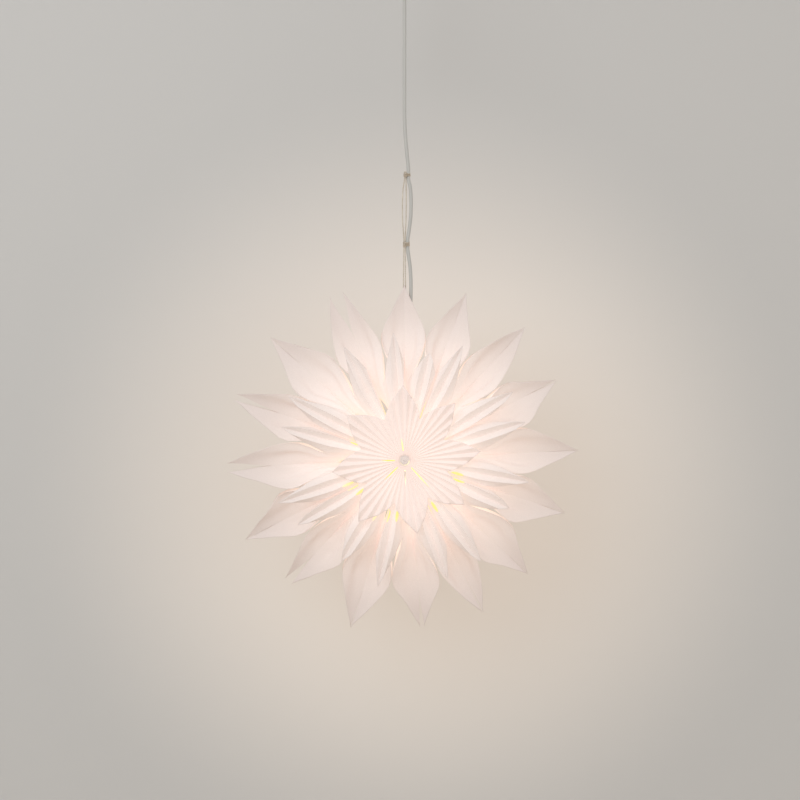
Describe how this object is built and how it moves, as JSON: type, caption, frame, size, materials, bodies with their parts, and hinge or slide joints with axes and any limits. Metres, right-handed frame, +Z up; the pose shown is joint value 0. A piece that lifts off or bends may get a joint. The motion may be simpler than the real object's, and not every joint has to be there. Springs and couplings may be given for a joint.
{
  "type": "paper star lantern",
  "caption": "Hanging star lantern of folded white paper, lit from inside, tied by a twine loop to its cable.",
  "frame": {"origin": "middle of the ceiling cup's rim, which lies against the ceiling", "axes": "+Z up against the ceiling, -Y the star's front, +X to the right as the front is seen"},
  "size_m": [0.6036, 0.1936, 1.157],
  "materials": {
    "star_paper": "matte",
    "petal_paper": "matte",
    "thread": "matte",
    "twine": "matte",
    "twine_dark": "matte",
    "cable": "satin",
    "bulb_glass": "gloss",
    "brass": "satin",
    "ceramic": "matte",
    "white_plastic": "satin",
    "cup_plastic": "satin",
    "steel": "satin"
  },
  "bodies": {
    "root": {"pocket_1": "star_paper", "pocket_2": "star_paper", "pocket_3": "star_paper", "pocket_4": "star_paper", "pocket_5": "star_paper", "pocket_6": "star_paper", "pocket_7": "star_paper", "pocket_8": "star_paper", "pocket_9": "star_paper", "pocket_10": "star_paper", "pocket_11": "star_paper", "pocket_12": "star_paper", "pocket_13": "star_paper", "pocket_14": "star_paper", "pocket_15": "star_paper", "pocket_16": "star_paper", "front_petal_1": "petal_paper", "front_petal_2": "petal_paper", "front_petal_3": "petal_paper", "front_petal_4": "petal_paper", "front_petal_5": "petal_paper", "front_petal_6": "petal_paper", "front_petal_7": "petal_paper", "front_petal_8": "petal_paper", "back_petal_1": "petal_paper", "back_petal_2": "petal_paper", "back_petal_3": "petal_paper", "back_petal_4": "petal_paper", "back_petal_5": "petal_paper", "back_petal_6": "petal_paper", "back_petal_7": "petal_paper", "back_petal_8": "petal_paper", "front_hub_tie": "thread", "back_hub_tie": "thread", "twine_loop": "twine", "twine_binding": "twine_dark", "twine_hitch": "twine_dark", "cable": "cable", "bulb": "bulb_glass", "screw_shell": "brass", "contact_insert": "ceramic", "lampholder_skirt": "white_plastic", "lampholder_cap": "white_plastic", "holder_cord_grip": "white_plastic", "ceiling_cup": "cup_plastic", "cup_cord_grip": "cup_plastic", "ceiling_bracket": "steel", "cup_screws": "steel", "terminal_block": "ceramic"}
  },
  "joints": []
}
